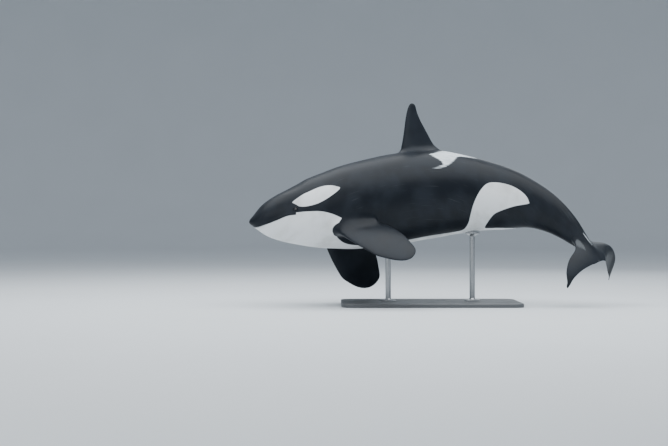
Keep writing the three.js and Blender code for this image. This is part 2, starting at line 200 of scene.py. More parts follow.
def loft(name, rings, first, last):
    count, sides = rings.shape[:2]
    points = np.vstack([first, rings.reshape(-1, 3), last])
    ring, side = np.meshgrid(np.arange(count - 1), np.arange(sides), indexing="ij")
    beside = (side + 1) % sides
    quads = np.stack([ring * sides + side, ring * sides + beside,
                      (ring + 1) * sides + beside, (ring + 1) * sides + side], -1).reshape(-1, 4) + 1
    j = np.arange(sides)
    k = (j + 1) % sides
    front = np.stack([np.zeros(sides, int), k + 1, j + 1], -1)
    base = (count - 1) * sides + 1
    back = np.stack([np.full(sides, len(points) - 1), base + j, base + k], -1)
    mesh = bpy.data.meshes.new(name)
    mesh.from_pydata(points.tolist(), [], front.tolist() + quads.tolist() + back.tolist())
    made = bpy.data.objects.new(name, mesh)
    bpy.context.scene.collection.objects.link(made)
    turn_outward(mesh)
    return made


def vertices_of(mesh):
    flat = np.empty(len(mesh.vertices) * 3, np.float32)
    mesh.vertices.foreach_get("co", flat)
    return flat.reshape(-1, 3).astype(float)


def move_vertices(mesh, points):
    mesh.vertices.foreach_set("co", points.astype(np.float32).ravel())
    mesh.update()


def tree_of(places):
    """A search tree, which finds the nearest of the places to any point."""
    tree = KDTree(len(places))
    for i, place in enumerate(places):
        tree.insert(place, i)
    tree.balance()
    return tree


def nearness(points, places, reach):
    """1 on the nearest of the places, and falling smoothly to 0 at the reach."""
    tree = tree_of(places)
    share = np.clip(1 - np.array([tree.find(p)[2] for p in points]) / reach, 0, 1)
    return share * share * (3 - 2 * share)


def turn_outward(mesh):
    """Flips the faces if they make a negative volume."""
    mesh.calc_loop_triangles()
    corners = np.empty(len(mesh.loop_triangles) * 3, np.int32)
    mesh.loop_triangles.foreach_get("vertices", corners)
    a, b, c = vertices_of(mesh)[corners.reshape(-1, 3)].transpose(1, 0, 2)
    if np.einsum("ij,ij->", a, np.cross(b, c)) < 0:
        mesh.flip_normals()


# %% [markdown]
# The torso, head and tail are one long loft. The rings crowd towards the snout, where the form turns
# quickly. The points of a ring run on a superellipse, which is a little squarer than an ellipse, as a
# well-fed whale's section is. Low swellings are pushed out of it, for the brow over each eye and for
# the rim of the blowhole.

# %% Loft the body
BODY_RINGS = 320
BODY_SIDES = 176
EYE_AT = 0.1135
EYE_HEIGHT = 0.122
BLOWHOLE_AT = 0.126
RING_CROWDING = 1.35
BROW_WIDE = 0.085
BROW_RISE = 0.012
BLOWHOLE_WIDE = 0.1
BLOWHOLE_RISE = 0.008


def skin_points(f, angle):
    """Points of the skin. The angle runs from the back, 0, by the left side to the belly."""
    f, angle = np.broadcast_arrays(f, angle)
    shape = f.shape
    f, angle = f.ravel(), angle.ravel()
    s, c = np.sin(angle), np.cos(angle)
    n = np.where(c > 0, square_above(f), square_below(f))
    height = np.where(c > 0, above_at(f), below_at(f))
    sideways = width_at(f) * np.sign(s) * np.abs(s) ** (2 / n)
    return in_body(f, sideways, height * np.sign(c) * np.abs(c) ** (2 / n)).reshape(*shape, 3)


def swell(points, centre, size, height):
    """Pushes points near a centre away from the spine."""
    near = np.exp(-(np.linalg.norm(points - centre, axis=-1) / size) ** 2)
    outward = points - spine_frame(ring_shares)[0][:, None]
    outward /= np.linalg.norm(outward, axis=-1, keepdims=True)
    return points + outward * (height * near)[..., None]


ring_shares = STOCK_END * (np.arange(1, BODY_RINGS + 1) / BODY_RINGS) ** RING_CROWDING
ring_angles = np.arange(BODY_SIDES) / BODY_SIDES * 2 * np.pi
body_rings = skin_points(ring_shares[:, None], ring_angles[None, :])
for side in (1, -1):
    eye_place = in_body(EYE_AT, side * half_width(EYE_AT, EYE_HEIGHT), EYE_HEIGHT)[0]
    body_rings = swell(body_rings, eye_place, BROW_WIDE, BROW_RISE)
blowhole_place = in_body(BLOWHOLE_AT, 0, above_at(BLOWHOLE_AT))[0]
body_rings = swell(body_rings, blowhole_place, BLOWHOLE_WIDE, BLOWHOLE_RISE)
skin = loft("orca_skin", body_rings, SNOUT, body_rings[-1].mean(0))
print("body", len(skin.data.polygons), "faces")

# %% [markdown]
# A fin is a loft across its own span. Each row gives the leading edge, the trailing edge and the
# thickness, in millimetres, at a share of the span. The curves through the rows run in the square root
# of what is left of the span, which rounds the tip.

# %% Rows of the fins
DORSAL_AT = 0.463
DORSAL_SPAN = 0.8
DORSAL_SINK = 0.012
DORSAL_ROWS = [
    [-0.12, -290, 470, 300], [0, -266, 402, 215], [0.05, -250, 350, 165], [0.12, -230, 303, 135],
    [0.3, -184, 242, 104], [0.5, -142, 178, 84], [0.65, -113, 131, 68], [0.82, -72, 96, 52],
    [0.94, -30, 82, 36], [1, 26, 26, 0],
]
FLIPPER_SPAN = 1.288
FLIPPER_SINK = 0.06
FLIPPER_ROWS = [
    [-0.3, -177, 179, 215], [0, -226, 219, 170], [0.1, -241, 245, 142], [0.25, -284, 321, 116],
    [0.45, -317, 379, 98], [0.65, -330, 360, 82], [0.82, -258, 292, 64], [0.94, -149, 222, 44],
    [1, 32, 28, 0],
]
FLIPPERS = [
    {"at": 0.234, "height": -0.27, "side": 1, "bend": 0.246,
     "out": (0.745, -0.627, -0.227), "chord": (0.649, 0.604, 0.463)},
    {"at": 0.232, "height": -0.289, "side": -1, "bend": 0.087,
     "out": (0.489, 0.42, -0.765), "chord": (0.855, -0.059, 0.515)},
]
FLUKE_AT = 0.925
FLUKE_SPAN = 0.93
FLUKE_ROLL = 10
FLUKE_LIFT = 3.5
FLUKE_ROWS = [
    [-0.1, -150, 320, 110], [0, -170, 436, 118], [0.08, -100, 477, 96], [0.25, 50, 418, 70],
    [0.5, 126, 396, 52], [0.72, 238, 406, 40], [0.9, 376, 436, 28], [1, 428, 445, 0],
]
LOBES = {
    1: {"droop": 0.442, "lead_bend": 1.43, "trail_bend": 1.43, "curl": 0.276, "sweep": 0.0},
    -1: {"droop": 0.638, "lead_bend": 8.0, "trail_bend": 1.42, "curl": 0.052, "sweep": 0.044},
}
CURL_BEND = 3
SWEEP_BEND = 4

# %% [markdown]
# The section of a fin is blunt in front and thin behind, as on a wing. Two powers shape it, one for the
# nose and one for the taper, and their product is divided by its greatest value to keep the thickness.

# %% Loft the back fin
FIN_SPANS = 56
FIN_SIDES = 80
FIN_END = 0.998
FIN_NOSE = 0.5
FIN_TAPER = 0.75
FIN_FULLEST = 0.431


def fin_curves(rows):
    """Leading edge, trailing edge and thickness, in metres, as functions of the share of the span."""
    turned = [[math.sqrt(1 - row[0]), *row[1:]] for row in reversed(rows)]
    curves = [curve_through(turned, column, 0.001) for column in (1, 2, 3)]
    return [lambda v, curve=curve: curve(np.sqrt(np.maximum(1 - v, 0))) for curve in curves]


def fin(name, rows, start, place):
    """A fin whose points are placed by chord, share of the span, thickness and share of the chord."""
    lead, trail, thick = fin_curves(rows)
    v = start + (FIN_END - start) * np.sin(np.linspace(0, np.pi / 2, FIN_SPANS))[:, None]
    around = np.arange(FIN_SIDES) / (FIN_SIDES / 2)
    across = np.where(around <= 1, around, 2 - around)[None, :]
    c = (1 - np.cos(np.pi * across)) / 2
    face = np.where(around < 1, 1.0, -1.0)[None, :]
    half = face * c**FIN_NOSE * (1 - c) ** FIN_TAPER / FIN_FULLEST * thick(v) / 2
    rings = place(lead(v) + (trail(v) - lead(v)) * c, v, half, c)
    return loft(name, rings, rings[0].mean(0), rings[-1].mean(0))


def from_root(root, ways, *reaches):
    """Points at three distances from a root along three directions."""
    return root + sum(reach[..., None] * way for reach, way in zip(reaches, ways))


def unit(v):
    return np.asarray(v, float) / np.linalg.norm(v)


def unit_rows(rows):
    return rows / np.linalg.norm(rows, axis=1, keepdims=True)


_, tail_way, left_way, up_way = (part[0] for part in spine_frame(DORSAL_AT))
dorsal_ways = (tail_way, up_way, left_way)
dorsal_root = in_body(DORSAL_AT, 0, above_at(DORSAL_AT) - DORSAL_SINK)[0]


def place_dorsal(chord, v, thick, c):
    return from_root(dorsal_root, dorsal_ways, chord, v * DORSAL_SPAN, thick)


fins = [fin("dorsal", DORSAL_ROWS, -0.12, place_dorsal)]

# %% [markdown]
# A flipper is a flat paddle that stands out from the chest and bends a little towards its tip.

# %% Loft the flippers
for flipper in FLIPPERS:
    f, height, side = flipper["at"], flipper["height"], flipper["side"]
    root = in_body(f, side * (half_width(f, height) - FLIPPER_SINK), height)[0]
    out = unit(flipper["out"])
    chord_way = np.array(flipper["chord"])
    chord_way = unit(chord_way - out * (out @ chord_way))
    face_way = np.cross(out, chord_way)
    ways = (chord_way, out, face_way if face_way[2] > 0 else -face_way)

    def place_flipper(chord, v, thick, c):
        return from_root(root, ways, chord, v * FLIPPER_SPAN, thick - flipper["bend"] * v * v)

    fins.append(fin("flipper", FLIPPER_ROWS, -0.2, place_flipper))

# %% [markdown]
# The flukes are caught at the end of a stroke. Each lobe droops and its tip curls in. On the far lobe the
# trailing edge droops first. So a lobe is drawn flat, and these bends are added along its span.

# %% Loft the flukes
fluke_root, *turned = (Vector(part[0]) for part in spine_frame(FLUKE_AT))
for axis, angle in ((turned[0].copy(), FLUKE_ROLL), (turned[1].copy(), FLUKE_LIFT)):
    for direction in turned:
        direction.rotate(Matrix.Rotation(math.radians(angle), 3, axis))
fluke_root = np.array(fluke_root)
fluke_tail, fluke_left, fluke_up = (np.array(direction) for direction in turned)


def fluke_bends(lobe, v, c):
    """How far a point of a lobe is swept back, curled in and drooped, in metres."""
    v = np.maximum(v, 0)
    sweep = lobe["sweep"] * v**SWEEP_BEND
    curl = lobe["curl"] * v**CURL_BEND
    droop = lobe["droop"] * v ** (lobe["lead_bend"] * (1 - c) + lobe["trail_bend"] * c)
    return sweep, curl, droop


for side, lobe in LOBES.items():
    ways = (fluke_tail, side * fluke_left, fluke_up)

    def place_fluke(chord, v, thick, c):
        sweep, curl, droop = fluke_bends(lobe, v, c)
        return from_root(fluke_root, ways, chord + sweep, v * FLUKE_SPAN - curl, thick - droop)

    fins.append(fin("fluke", FLUKE_ROWS, -0.06, place_fluke))
print(len(fins), "fins of", len(fins[0].data.polygons), "faces")

# %% [markdown]
# A boolean joins the fins to the body, and leaves a hard corner all round each root. On the animal the
# skin runs over that corner in a hollow curve. So the points near the corner are averaged with their
# neighbours many times over, most at the corner itself and not at all beyond a short reach.

# %% Helpers for joining and softening


def combine(base, others, operation):
    """Joins the others to the base, or cuts them out of it, and removes them."""
    for other in others:
        step = base.modifiers.new(other.name, "BOOLEAN")
        step.object = other
        step.operation = operation
        step.solver = "MANIFOLD"
    ready = base.evaluated_get(bpy.context.evaluated_depsgraph_get())
    mesh = bpy.data.meshes.new_from_object(ready)
    base.modifiers.clear()
    base.data = mesh
    for other in others:
        bpy.data.objects.remove(other)


def body_coordinates(points):
    """Share of the length, distance to the left and height over the spine of each point."""
    tree = tree_of(spine)
    f = np.array([tree.find(p)[1] for p in points]) / SPINE_STEPS
    for _ in range(6):
        place, tail, left, up = spine_frame(f)
        f = np.clip(f + np.einsum("ij,ij->i", points - place, tail) / LENGTH, 0, 1.1)
    place, tail, left, up = spine_frame(f)
    return (f, np.einsum("ij,ij->i", points - place, left), np.einsum("ij,ij->i", points - place, up))


def lift_of(f, sideways, height):
    """How far a point lies outside the bare body, in metres, roughly."""
    n = np.where(height > 0, square_above(f), square_below(f))
    tall = np.maximum(np.where(height > 0, above_at(f), below_at(f)), 0.002)
    wide = np.maximum(width_at(f), 0.002)
    ratio = ((np.abs(sideways) / wide) ** n + (np.abs(height) / tall) ** n) ** (1 / n)
    return (ratio - 1) * (tall + wide) / 2


def soften(mesh, centres, reach, rounds):
    """Averages points with their neighbours, most at the centres and not at all beyond the reach."""
    points = vertices_of(mesh)
    weight = nearness(points, centres, reach)[:, None]
    ends = np.empty(len(mesh.edges) * 2, np.int32)
    mesh.edges.foreach_get("vertices", ends)
    a, b = ends.reshape(-1, 2).T
    degree = np.bincount(ends, minlength=len(points))[:, None]
    for _ in range(rounds):
        total = np.empty_like(points)
        for axis in range(3):
            from_b = np.bincount(a, points[b, axis], len(points))
            from_a = np.bincount(b, points[a, axis], len(points))
            total[:, axis] = from_b + from_a
        points += weight * (total / degree - points)
    move_vertices(mesh, points)


# %% [markdown]
# The corner is where an edge of the mesh leaves the bare body for a fin. The flippers get the widest
# hollow and the back fin the tightest. Each row is a stretch of the length, the reach and the rounds.

# %% Join the fins and soften their roots
SKIN_NEAR = 0.004
ROOTS = [[0.0, 0.35, 0.2, 90], [0.35, 0.7, 0.08, 30], [0.7, 1.1, 0.12, 50]]

combine(skin, fins, "UNION")
points = vertices_of(skin.data)
share, sideways, height = body_coordinates(points)
outside = lift_of(share, sideways, height) > SKIN_NEAR
ends = np.empty(len(skin.data.edges) * 2, np.int32)
skin.data.edges.foreach_get("vertices", ends)
a, b = ends.reshape(-1, 2).T
corner = np.unique(a[outside[a] != outside[b]])
for start, end, reach, rounds in ROOTS:
    soften(skin.data, points[corner[(share[corner] > start) & (share[corner] < end)]], reach, rounds)
print("joined skin", len(skin.data.vertices), "points,", len(corner), "of them at the roots")

# %% [markdown]
# The mouth is shut. What shows is one long line from the tip of the snout to below the eye, with a
# firm lip above and below it. A thin blade swept along the line cuts the crease, so that the line
# stays crisp at any distance.

# %% Follow the mouth
MOUTH = [[-0.02, -112], [0.0146, -94], [0.0275, -73], [0.042, -52], [0.055, -32], [0.0683, -10],
         [0.08, 12], [0.088, 24], [0.098, 30], [0.1115, 26]]
MOUTH_FRONT = 0.0115
MOUTH_POINTS = 70
mouth_height = curve_through(MOUTH, 1, 0.001)


def blade(name, path, outward, depth, width):
    """A thin closed blade swept along a path, deep across the skin and narrow along it."""
    along = np.gradient(path, axis=0)
    along /= np.linalg.norm(along, axis=1, keepdims=True)
    across = np.cross(along, outward)
    across /= np.linalg.norm(across, axis=1, keepdims=True)
    deep = np.cross(across, along)
    turn = np.arange(10) / 10 * 2 * np.pi
    fade = np.sin(np.linspace(0.12, np.pi - 0.12, len(path))) ** 0.35
    rings = (path[:, None] + np.cos(turn)[None, :, None] * deep[:, None] * depth * fade[:, None, None]
             + np.sin(turn)[None, :, None] * across[:, None] * width * fade[:, None, None])
    return loft(name, rings, path[0], path[-1])


def mouth_line():
    """Points of the mouth's line, from the right corner round the snout to the left one, and ways out."""
    f = MOUTH_FRONT + (MOUTH[-1][0] - MOUTH_FRONT) * np.linspace(0, 1, MOUTH_POINTS) ** 1.7
    height = mouth_height(f)
    sideways = half_width(f, height)
    left_side = in_body(f, sideways, height)
    right_side = in_body(f, -sideways, height)[::-1]
    away = np.linalg.norm(left_side - right_side[::-1], axis=1) > 0.03
    path = np.vstack([right_side[away[::-1]], left_side[away]])
    centre = spine_frame(np.concatenate([f[::-1][away[::-1]], f[away]]))[0]
    return path, unit_rows(path - centre)


def puff(mesh, path, reach, rise):
    """Raises the skin along a path, most on the path and not at all beyond the reach."""
    points = vertices_of(mesh)
    normals = np.empty(len(points) * 3, np.float32)
    mesh.vertices.foreach_get("normal", normals)
    points += normals.reshape(-1, 3) * (rise * nearness(points, path, reach))[:, None]
    move_vertices(mesh, points)


mouth_path, mouth_out = mouth_line()
print("mouth line of", len(mouth_path), "points")

# %% [markdown]
# The lips are raised first, as one low swelling, so that the blade leaves a lip on either side of it.
# The same blade makes the crescent of the blowhole and the slits of the belly.

# %% Raise the lips and make the blades
MOUTH_CREASE = 0.006
CREASE_DEPTH = 0.02
LIP_REACH = 0.06
LIP_RISE = 0.007
BLOWHOLE_RADIUS = 0.052
BLOWHOLE_CREASE = 0.008
BELLY_SLITS = {"navel": (0.462, 0.468), "slit": (0.652, 0.7), "vent": (0.712, 0.722)}
SLIT_DEPTH = 0.016
SLIT_CREASE = 0.005

puff(skin.data, mouth_path, LIP_REACH, LIP_RISE)
creases = [blade("mouth", mouth_path, mouth_out, CREASE_DEPTH, MOUTH_CREASE)]

turn = np.radians(np.linspace(-80, 80, 24))
f = BLOWHOLE_AT + BLOWHOLE_RADIUS * (np.cos(turn) - 0.6) / LENGTH
sideways = BLOWHOLE_RADIUS * np.sin(turn)
height = above_at(f) * (1 - np.abs(sideways / width_at(f)) ** 2.1) ** (1 / 2.1) + 0.006
blowhole_path = in_body(f, sideways, height)
upward = np.repeat(spine_frame(BLOWHOLE_AT)[3], len(turn), 0)
creases.append(blade("blowhole", blowhole_path, upward, CREASE_DEPTH, BLOWHOLE_CREASE))

for name, (start, end) in BELLY_SLITS.items():
    f = np.linspace(start, end, 16)
    downward = -spine_frame(f)[3]
    creases.append(blade(name, in_body(f, 0, -below_at(f)), downward, SLIT_DEPTH, SLIT_CREASE))
print(len(creases), "blades for creases")

# %% [markdown]
# An orca's eye is small for its size, dark, and sunk behind thick lids. The skin's own slope at the eye
# says which way the eye looks.

# %% Helpers for the eyes


def eye_directions(side):
    """Forward, over and out, at right angles, as the skin lies at the eye."""
    here = in_body(EYE_AT, side * half_width(EYE_AT, EYE_HEIGHT), EYE_HEIGHT)[0]
    ahead = in_body(EYE_AT - 0.01, side * half_width(EYE_AT - 0.01, EYE_HEIGHT), EYE_HEIGHT)[0]
    above = in_body(EYE_AT, side * half_width(EYE_AT, EYE_HEIGHT + 0.06), EYE_HEIGHT + 0.06)[0]
    forward = unit(ahead - here)
    out = unit(np.cross(forward, above - here))
    out = out if out @ spine_frame(EYE_AT)[2][0] * side > 0 else -out
    over = np.cross(out, forward)
    over = over if over[2] > 0 else -over
    return here, forward, over, out


def ball(name, centre, radius, rings=24, sides=40):
    polar = np.linspace(0, np.pi, rings + 2)[1:-1, None]
    turn = np.arange(sides) / sides * 2 * np.pi
    spread = np.sin(polar) * radius
    level = np.cos(polar) * radius * np.ones(sides)
    points = np.stack([spread * np.cos(turn), spread * np.sin(turn), level], -1)
    top = np.array([0, 0, radius])
    return loft(name, points + centre, centre + top, centre - top)


# %% [markdown]
# Each ball sits where its solid is. A ring of flesh makes the lids, a little thicker above, and a round
# socket leaves room for the ball.

# %% Shape the lids and sockets
LID_LONG = 0.037
LID_TALL = 0.0235
LID_THICK = 0.0085
LID_HEAVIER = 0.002
LID_OUT = 0.006
LID_TILT = 0.14
SOCKET_GAP = 0.0004

eyes = {}
sockets = []
lids = []
for side, name in ((1, "eye_left"), (-1, "eye_right")):
    low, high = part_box(name)
    centre = np.array((low + high) / 2)
    radius = (high - low).z / 2
    here, forward, over, out = eye_directions(side)
    turn = np.arange(64) / 64 * 2 * np.pi
    ring = np.arange(12) / 12 * 2 * np.pi
    long_axis = unit(forward * math.cos(LID_TILT) - over * math.sin(LID_TILT))
    tall_axis = unit(np.cross(out, long_axis))
    tall_axis = tall_axis if tall_axis @ over > 0 else -tall_axis
    heavy = LID_THICK + LID_HEAVIER * np.sin(turn)
    path = (here + out * LID_OUT + np.cos(turn)[:, None] * long_axis * LID_LONG
            + np.sin(turn)[:, None] * tall_axis * LID_TALL)
    spread = unit_rows(path - here - out * LID_OUT)
    tube = (path[:, None] + (np.cos(ring)[None, :, None] * spread[:, None]
            + np.sin(ring)[None, :, None] * out * 1.1) * heavy[:, None, None])
    lids.append((tube, here))
    sockets.append(ball("socket", centre, radius + SOCKET_GAP))
    eyes[name] = (centre, radius, over, out)
print(len(lids), "lids")

# %% [markdown]
# The lids are joined to the skin and softened into it, and then all the blades and sockets are cut out
# at once. The finished skin may not stick out of the box of the solids, so it is eased inward there.

# %% Join the lids and cut the creases
LID_REACH = 0.02
LID_EDGE = 0.009


def closed_tube(name, tube):
    """A ring-shaped tube, closed on itself both ways."""
    turns, sides = tube.shape[:2]
    ring, side = np.meshgrid(np.arange(turns), np.arange(sides), indexing="ij")
    here = ring * sides
    ahead = (ring + 1) % turns * sides
    beside = (side + 1) % sides
    quads = np.stack([here + side, here + beside, ahead + beside, ahead + side], -1).reshape(-1, 4)
    mesh = bpy.data.meshes.new(name)
    mesh.from_pydata(tube.reshape(-1, 3).tolist(), [], quads.tolist())
    made = bpy.data.objects.new(name, mesh)
    bpy.context.scene.collection.objects.link(made)
    turn_outward(mesh)
    return made


combine(skin, [closed_tube("lids", tube) for tube, _ in lids], "UNION")
rims = []
for tube, here in lids:
    middle = tube.mean(1)
    rims.append(middle + unit_rows(middle - here) * LID_EDGE)
soften(skin.data, np.vstack(rims), LID_REACH, 6)
combine(skin, creases + sockets, "DIFFERENCE")


def keep_within(mesh, low, high, margin=0.0005, reach=0.08):
    """Eases the outermost points inward, so that the mesh stays inside a box."""
    points = vertices_of(mesh)
    for axis in range(3):
        for limit, way in ((low[axis], 1), (high[axis], -1)):
            depth = way * points[:, axis]
            over = max(way * limit + margin - depth.min(), 0)
            near = np.clip(1 - (depth - depth.min()) / reach, 0, 1)
            points[:, axis] += way * over * near**2
    move_vertices(mesh, points)


keep_within(skin.data, solid_low, solid_high)
print("skin with creases and sockets", len(skin.data.polygons), "faces")

# %% [markdown]
# The white and grey marks are drawn in the animal's own map: the distance along the spine, and the
# distance round the girth from the middle of the back. Each mark is a loop of a few points in that map,
# with its corners cut twice to round them. A point that is named twice stays sharp. The skin round the
# root of each flipper is black, as a patch of its own. The chin follows the mouth, so its loop has
# heights over the spine, in millimetres, where the others have angles round the body.

# %% Loops of the marks
EYE_PATCH = [[0.108, 60], [0.108, 60], [0.119, 55.5], [0.139, 51], [0.16, 50], [0.18, 48], [0.198, 48.5],
             [0.216, 51.5], [0.2365, 60], [0.2365, 60], [0.226, 64], [0.204, 69.5], [0.184, 74],
             [0.164, 76.5], [0.141, 76.5], [0.124, 73.5], [0.117, 67]]
BELLY = [[0.14, 100], [0.2, 122], [0.222, 146], [0.26, 155], [0.33, 157], [0.42, 157], [0.5, 157],
         [0.55, 160], [0.579, 158], [0.592, 140], [0.595, 122], [0.6, 106], [0.609, 92], [0.621, 78],
         [0.635, 68], [0.655, 63.5], [0.69, 60.5], [0.72, 63], [0.745, 71], [0.7565, 84.5], [0.7565, 84.5],
         [0.745, 92], [0.715, 102.5], [0.683, 114], [0.665, 121], [0.655, 132], [0.646, 146], [0.642, 158],
         [0.65, 162], [0.69, 161], [0.725, 167], [0.745, 182], [0.74, 215], [0.14, 215]]
CHIN = [[0.113, 60], [0.128, 57], [0.15, 46], [0.172, 28], [0.19, -10], [0.208, -66], [0.2245, -138],
        [0.2245, -138], [0.215, -190], [0.209, -270], [0.207, -380], [0.214, -620], [0.214, -1300],
        [0.214, -1300], [-0.03, -1300]]
FLIPPER_ROOT = [[0.196, 122], [0.205, 112], [0.225, 104], [0.255, 98], [0.275, 100], [0.27, 110],
                [0.25, 120], [0.225, 128], [0.205, 130]]
SADDLE = [[0.4885, 27], [0.4885, 27], [0.507, 19], [0.522, 10], [0.535, -8], [0.58, -8], [0.605, 5],
          [0.603, 14], [0.575, 19], [0.556, 23], [0.549, 32], [0.541, 42], [0.5245, 52], [0.507, 55.5],
          [0.4885, 56], [0.4885, 56], [0.504, 53.5], [0.515, 50], [0.516, 45.5], [0.509, 40.5],
          [0.4985, 33.5]]

# %% Helpers for the marks


def rounded(points, rounds=2, closed=True):
    """Cuts the corners of a loop, or of an open line, whose ends then stay."""
    points = np.array(points, float)
    for _ in range(rounds):
        start, end = (points, np.roll(points, -1, axis=0)) if closed else (points[:-1], points[1:])
        cut = np.stack([start * 0.75 + end * 0.25, start * 0.25 + end * 0.75], 1).reshape(-1, 2)
        points = cut if closed else np.vstack([points[:1], cut, points[-1:]])
    return points


def inside_by(x, y, loop):
    """How far each point is inside the loop, or outside it where negative."""
    start, end = loop, np.roll(loop, -1, axis=0)
    nearest = np.full(len(x), 1e9)
    crossings = np.zeros(len(x), int)
    for (x0, y0), (x1, y1) in zip(start, end):
        dx, dy = x1 - x0, y1 - y0
        size = dx * dx + dy * dy
        if size < 1e-14:
            continue
        t = np.clip(((x - x0) * dx + (y - y0) * dy) / size, 0, 1)
        nearest = np.minimum(nearest, np.hypot(x - x0 - t * dx, y - y0 - t * dy))
        if dy:
            crosses = ((y0 > y) != (y1 > y)) & (x < x0 + (y - y0) * dx / dy)
            crossings += crosses
    return np.where(crossings % 2 == 1, nearest, -nearest)


def girth_radius(f):
    """The mean of the body's four reaches, which turns an angle round it into a distance."""
    return (above_at(f) + below_at(f) + 2 * width_at(f)) / 4


def girth_loop(points):
    """A loop of shares and angles, rounded, as distances along and round the body."""
    share, angle = rounded(points).T
    return np.stack([share * LENGTH, np.radians(angle) * girth_radius(np.maximum(share, 0))], -1)


# %% [markdown]
# Each point of the skin stores how far it is inside the nearest mark. The paint turns that distance
# into an edge, which is crisper than the mesh, because the distance changes evenly.

# %% Mark the skin
FIN_LIFT = 0.045

points = vertices_of(skin.data)
share, sideways, height = body_coordinates(points)
lift = lift_of(share, sideways, height)
n = np.where(height > 0, square_above(share), square_below(share))
tall = np.where(height > 0, above_at(share), below_at(share))
sine = (np.abs(sideways) / np.maximum(width_at(share), 1e-4)) ** (n / 2)
cosine = np.sign(height) * (np.abs(height) / np.maximum(tall, 1e-4)) ** (n / 2)
distance = share * LENGTH
girth = np.arctan2(sine, cosine) * girth_radius(share)

lip = [[-0.03, -120]] + [row for row in MOUTH if row[0] > 0] + [[0.113, 26]]
chin_loop = np.vstack([lip, rounded(CHIN, closed=False)]) * [LENGTH, 0.001]
white = np.maximum.reduce([inside_by(distance, girth, girth_loop(EYE_PATCH)),
                           inside_by(distance, girth, girth_loop(BELLY)),
                           inside_by(distance, height, chin_loop)])
white = np.minimum(white, -inside_by(distance, girth, girth_loop(FLIPPER_ROOT)))
saddle = inside_by(distance, girth, girth_loop(SADDLE))
on_fin = lift - FIN_LIFT
white = np.minimum(white, -on_fin)
saddle = np.minimum(saddle, -on_fin)
print("white points", int((white > 0).sum()), "saddle points", int((saddle > 0).sum()))

# %% [markdown]
# The undersides of the flukes are white too, inside a dark rim that widens towards the tip. The lobes
# droop, so the height of the plain wing is added back to tell the upper face from the lower one.

# %% Mark the flukes and the tail
FLUKE_RIM = 0.05
FLUKE_NARROWING = 0.1
FLUKE_WHITE_START = 0.06
FLUKE_WHITE_END = 0.6
FACE_SHARPNESS = 2.5
TAIL_FROM = 0.88
# Two pale marks on the tail stock: a thin streak along its top, and a patch on its left side.
TAIL_PALE_MARKS = [[[0.91, 22], [0.915, 30], [0.93, 26], [0.948, 14], [0.953, 4], [0.943, 4], [0.926, 10]],
         [[0.912, 92], [0.917, 80], [0.93, 78], [0.948, 84], [0.955, 92], [0.945, 98], [0.93, 106],
          [0.919, 106]]]

offset = points - fluke_root
along = offset @ fluke_tail
lateral = offset @ fluke_left
upward = offset @ fluke_up
lead, trail, _ = fin_curves(FLUKE_ROWS)
fluke_white = np.full(len(points), -1.0)
for side, lobe in LOBES.items():
    shares = np.linspace(0, 1, 200)
    reached = shares * FLUKE_SPAN - fluke_bends(lobe, shares, 0)[1]
    v = np.interp(lateral * side, np.maximum.accumulate(reached), shares)
    chord = along - lobe["sweep"] * v**SWEEP_BEND
    c = np.clip((chord - lead(v)) / np.maximum(trail(v) - lead(v), 0.01), 0, 1)
    droop = fluke_bends(lobe, v, c)[2]
    rim = np.minimum(chord - lead(v), trail(v) - chord) - FLUKE_RIM
    rim = rim - FLUKE_NARROWING * (v / FLUKE_WHITE_END) ** 3
    below = -(upward + droop) * FACE_SHARPNESS
    underside = np.minimum.reduce([below, rim, chord - FLUKE_WHITE_START])
    fluke_white = np.where((lateral * side > 0) & (share > TAIL_FROM), underside, fluke_white)
white = np.maximum(white, fluke_white)
tail_pale_mark = np.maximum.reduce([inside_by(distance, girth, girth_loop(loop)) for loop in TAIL_PALE_MARKS])
tail_pale_mark = np.where(sideways > -0.02, tail_pale_mark, -1)

for name, values in (("white", white), ("saddle", saddle), ("tail_pale_mark", tail_pale_mark)):
    attribute = skin.data.attributes.new(name, "FLOAT", "POINT")
    attribute.data.foreach_set("value", values.astype(np.float32))
skin_map = skin.data.attributes.new("skin_map", "FLOAT_VECTOR", "POINT")
skin_map.data.foreach_set("vector", np.stack([distance, girth, lift], -1).astype(np.float32).ravel())
print("fluke points that are white", int((fluke_white > 0).sum()))

# %% [markdown]
# Wet whale skin is smooth and a little rubbery. Close up it has very fine ridges round the body, pale
# rake marks from other whales' teeth, and a soft unevenness under the shine. These come from noises:
# round ones for the unevenness, and ones stretched along the body for the marks.

# %% Helpers for materials


